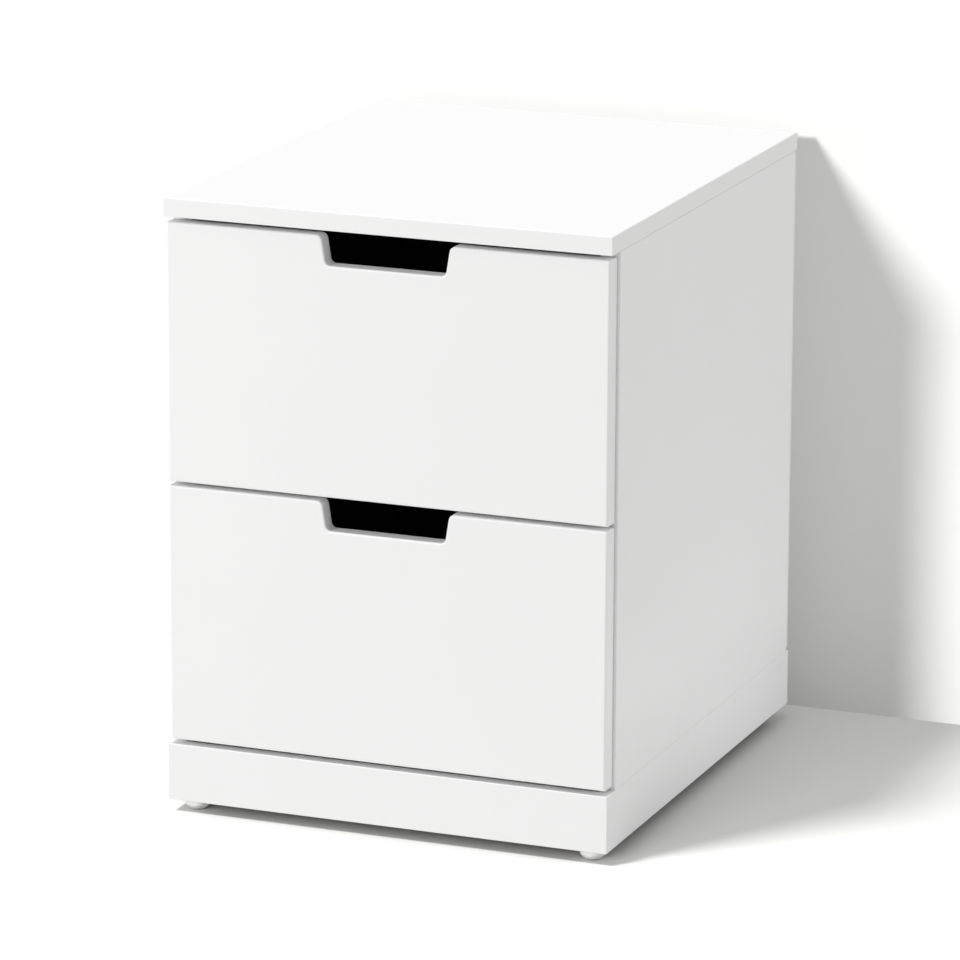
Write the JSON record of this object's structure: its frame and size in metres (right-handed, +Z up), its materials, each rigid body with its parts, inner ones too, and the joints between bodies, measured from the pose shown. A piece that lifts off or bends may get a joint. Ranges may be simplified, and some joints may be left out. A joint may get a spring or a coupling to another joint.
{
  "type": "chest of drawers",
  "caption": "Low floor-standing chest with two drawers on roller runners, finger notches for handles, a plinth and levelling feet.",
  "frame": {"origin": "on the floor, under the middle of the chest's footprint", "axes": "+Z up; the drawers open towards -Y; +X to the right of a person who faces the front"},
  "size_m": [0.4, 0.47, 0.537],
  "materials": {
    "white_foil": "smooth matt white foil on board",
    "white_hardboard": "painted hardboard",
    "grey_foil": "dark grey foil on board",
    "grey_hardboard": "dark grey painted hardboard",
    "beech": "plain fluted beech",
    "pine": "plain sawn pine",
    "zinc_alloy": "die-cast, dull",
    "zinc_plated_steel": "bright zinc plating",
    "coated_steel": "white epoxy powder coat",
    "roller_plastic": "moulded acetal",
    "foot_plastic": "moulded white plastic"
  },
  "bodies": {
    "carcass": {"back_panel": "white_hardboard", "back_panel_nails": "zinc_plated_steel", "cabinet_runner_lower_left": "coated_steel", "cabinet_runner_lower_right": "coated_steel", "cabinet_runner_screws": "zinc_plated_steel", "cabinet_runner_upper_left": "coated_steel", "cabinet_runner_upper_right": "coated_steel", "carcass_cam_bolts": "zinc_plated_steel", "carcass_cam_locks": "zinc_alloy", "foot_sockets": "foot_plastic", "front_bottom_rail": "white_foil", "plinth_back": "white_foil", "plinth_corner_blocks": "pine", "plinth_front": "white_foil", "plinth_front_batten": "pine", "plinth_left": "white_foil", "plinth_right": "white_foil", "plinth_screws": "zinc_plated_steel", "rear_bottom_rail": "white_foil", "rear_top_rail": "white_foil", "side_panel_left": "white_foil", "side_panel_right": "white_foil", "top_panel": "white_foil", "wall_anchor_bracket": "zinc_plated_steel", "wooden_dowels": "beech"},
    "lower_drawer": {"lower_drawer_back": "grey_foil", "lower_drawer_back_screws": "zinc_plated_steel", "lower_drawer_bottom": "grey_hardboard", "lower_drawer_cam_bolts": "zinc_plated_steel", "lower_drawer_cam_locks": "zinc_alloy", "lower_drawer_front": "white_foil", "lower_drawer_runner_left": "coated_steel", "lower_drawer_runner_right": "coated_steel", "lower_drawer_runner_screws": "zinc_plated_steel", "lower_drawer_side_left": "grey_foil", "lower_drawer_side_right": "grey_foil"},
    "upper_drawer": {"upper_drawer_back": "grey_foil", "upper_drawer_back_screws": "zinc_plated_steel", "upper_drawer_bottom": "grey_hardboard", "upper_drawer_cam_bolts": "zinc_plated_steel", "upper_drawer_cam_locks": "zinc_alloy", "upper_drawer_front": "white_foil", "upper_drawer_runner_left": "coated_steel", "upper_drawer_runner_right": "coated_steel", "upper_drawer_runner_screws": "zinc_plated_steel", "upper_drawer_side_left": "grey_foil", "upper_drawer_side_right": "grey_foil"},
    "foot_front_left": {"foot_front_left": "foot_plastic"},
    "foot_front_right": {"foot_front_right": "foot_plastic"},
    "foot_rear_left": {"foot_rear_left": "foot_plastic"},
    "foot_rear_right": {"foot_rear_right": "foot_plastic"},
    "cabinet_roller_lower_left": {"cabinet_roller_lower_left": "roller_plastic"},
    "cabinet_roller_lower_right": {"cabinet_roller_lower_right": "roller_plastic"},
    "cabinet_roller_upper_left": {"cabinet_roller_upper_left": "roller_plastic"},
    "cabinet_roller_upper_right": {"cabinet_roller_upper_right": "roller_plastic"},
    "lower_drawer_roller_left": {"lower_drawer_roller_left": "roller_plastic"},
    "lower_drawer_roller_right": {"lower_drawer_roller_right": "roller_plastic"},
    "upper_drawer_roller_left": {"upper_drawer_roller_left": "roller_plastic"},
    "upper_drawer_roller_right": {"upper_drawer_roller_right": "roller_plastic"}
  },
  "joints": [
    {"name": "lower_drawer_slide", "type": "slide", "parent": "carcass", "child": "lower_drawer", "axis": [0, -1, 0], "range_m": [0, 0.3]},
    {"name": "cabinet_roller_lower_left_spin", "type": "hinge", "parent": "carcass", "child": "cabinet_roller_lower_left", "pos_m": [-0.1766, -0.2004, 0.0967], "axis": [1, 0, 0], "range_deg": [-5, 1570]},
    {"name": "lower_drawer_roller_left_spin", "type": "hinge", "parent": "lower_drawer", "child": "lower_drawer_roller_left", "pos_m": [-0.1749, 0.1718, 0.0953], "axis": [1, 0, 0], "range_deg": [-5, 1570]},
    {"name": "cabinet_roller_lower_right_spin", "type": "hinge", "parent": "carcass", "child": "cabinet_roller_lower_right", "pos_m": [0.1766, -0.2004, 0.0967], "axis": [1, 0, 0], "range_deg": [-5, 1570]},
    {"name": "lower_drawer_roller_right_spin", "type": "hinge", "parent": "lower_drawer", "child": "lower_drawer_roller_right", "pos_m": [0.1749, 0.1718, 0.0953], "axis": [1, 0, 0], "range_deg": [-5, 1570]},
    {"name": "upper_drawer_slide", "type": "slide", "parent": "carcass", "child": "upper_drawer", "axis": [0, -1, 0], "range_m": [0, 0.3]},
    {"name": "cabinet_roller_upper_left_spin", "type": "hinge", "parent": "carcass", "child": "cabinet_roller_upper_left", "pos_m": [-0.1766, -0.2004, 0.3242], "axis": [1, 0, 0], "range_deg": [-5, 1570]},
    {"name": "upper_drawer_roller_left_spin", "type": "hinge", "parent": "upper_drawer", "child": "upper_drawer_roller_left", "pos_m": [-0.1749, 0.1718, 0.3228], "axis": [1, 0, 0], "range_deg": [-5, 1570]},
    {"name": "cabinet_roller_upper_right_spin", "type": "hinge", "parent": "carcass", "child": "cabinet_roller_upper_right", "pos_m": [0.1766, -0.2004, 0.3242], "axis": [1, 0, 0], "range_deg": [-5, 1570]},
    {"name": "upper_drawer_roller_right_spin", "type": "hinge", "parent": "upper_drawer", "child": "upper_drawer_roller_right", "pos_m": [0.1749, 0.1718, 0.3228], "axis": [1, 0, 0], "range_deg": [-5, 1570]},
    {"name": "foot_front_left_turn", "type": "hinge", "parent": "carcass", "child": "foot_front_left", "pos_m": [-0.181, -0.216, 0], "axis": [0, 0, -1], "range_deg": [0, 2160]},
    {"name": "foot_front_right_turn", "type": "hinge", "parent": "carcass", "child": "foot_front_right", "pos_m": [0.181, -0.216, 0], "axis": [0, 0, -1], "range_deg": [0, 2160]},
    {"name": "foot_rear_left_turn", "type": "hinge", "parent": "carcass", "child": "foot_rear_left", "pos_m": [-0.181, 0.216, 0], "axis": [0, 0, -1], "range_deg": [0, 2160]},
    {"name": "foot_rear_right_turn", "type": "hinge", "parent": "carcass", "child": "foot_rear_right", "pos_m": [0.181, 0.216, 0], "axis": [0, 0, -1], "range_deg": [0, 2160]}
  ],
  "couplings": [
    {"joint": "cabinet_roller_lower_left_spin", "follows": "lower_drawer_slide", "rad_per_m": 90.909},
    {"joint": "lower_drawer_roller_left_spin", "follows": "lower_drawer_slide", "rad_per_m": 90.909},
    {"joint": "cabinet_roller_lower_right_spin", "follows": "lower_drawer_slide", "rad_per_m": 90.909},
    {"joint": "lower_drawer_roller_right_spin", "follows": "lower_drawer_slide", "rad_per_m": 90.909},
    {"joint": "cabinet_roller_upper_left_spin", "follows": "upper_drawer_slide", "rad_per_m": 90.909},
    {"joint": "upper_drawer_roller_left_spin", "follows": "upper_drawer_slide", "rad_per_m": 90.909},
    {"joint": "cabinet_roller_upper_right_spin", "follows": "upper_drawer_slide", "rad_per_m": 90.909},
    {"joint": "upper_drawer_roller_right_spin", "follows": "upper_drawer_slide", "rad_per_m": 90.909}
  ]
}
